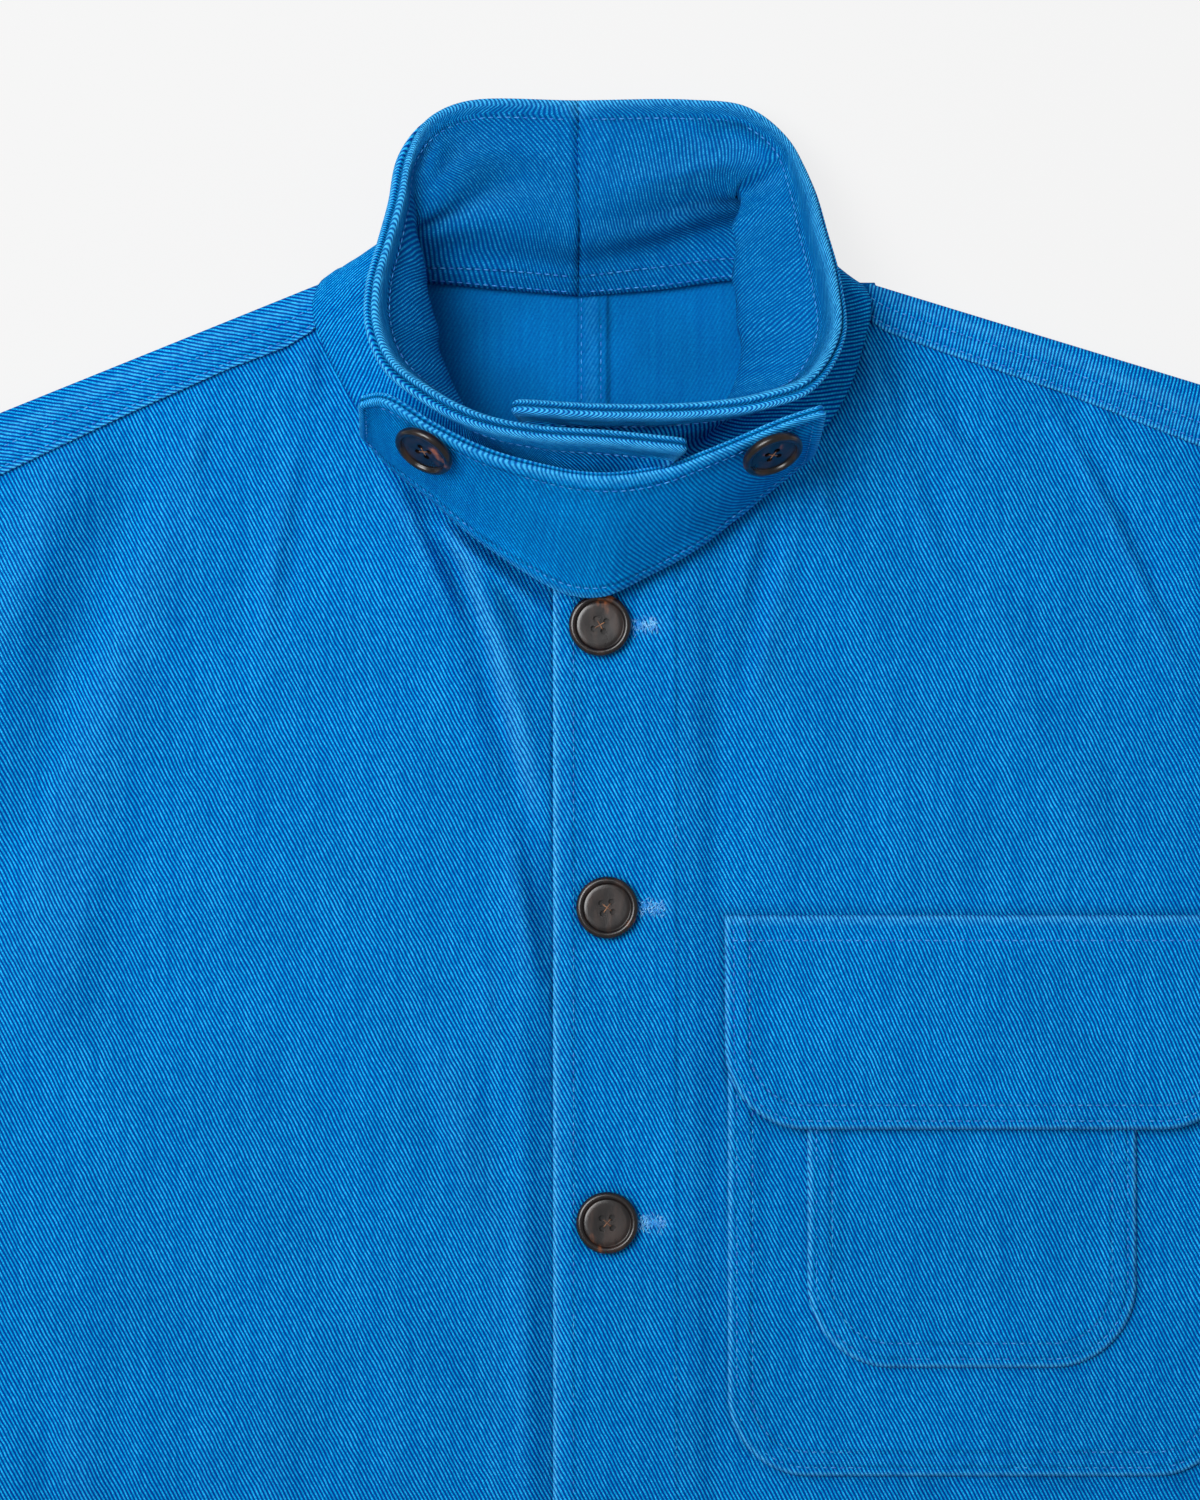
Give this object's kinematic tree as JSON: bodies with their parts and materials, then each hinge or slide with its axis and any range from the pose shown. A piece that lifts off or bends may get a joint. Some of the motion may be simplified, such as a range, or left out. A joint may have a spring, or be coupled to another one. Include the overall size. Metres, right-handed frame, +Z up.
{
  "type": "chore coat",
  "caption": "Heavy twill chore coat laid flat on its back, stand collar opened and held by a buttoned chin strap, flapped chest pocket.",
  "frame": {"origin": "middle of the coat's outline on the surface that it lies on", "axes": "+Z up from that surface, +Y towards the collar, +X towards the wearer's left sleeve"},
  "size_m": [1.1054, 0.7968, 0.065],
  "materials": {
    "twill": "matte, brushed and worn pale along its edges",
    "horn": "polished dark brown horn with amber streaks"
  },
  "bodies": {
    "root": {"back_left": "twill", "back_right": "twill", "front_left": "twill", "front_right": "twill", "sleeve_under_left": "twill", "sleeve_upper_left": "twill", "sleeve_under_right": "twill", "sleeve_upper_right": "twill", "collar_left": "twill", "collar_right": "twill", "chin_strap": "twill", "chest_pocket": "twill", "pocket_patch": "twill", "pocket_flap": "twill", "button_front_1": "horn", "button_front_2": "horn", "button_front_3": "horn", "button_front_4": "horn", "button_front_5": "horn", "button_front_6": "horn", "button_strap_left": "horn", "button_strap_right": "horn"}
  },
  "joints": []
}
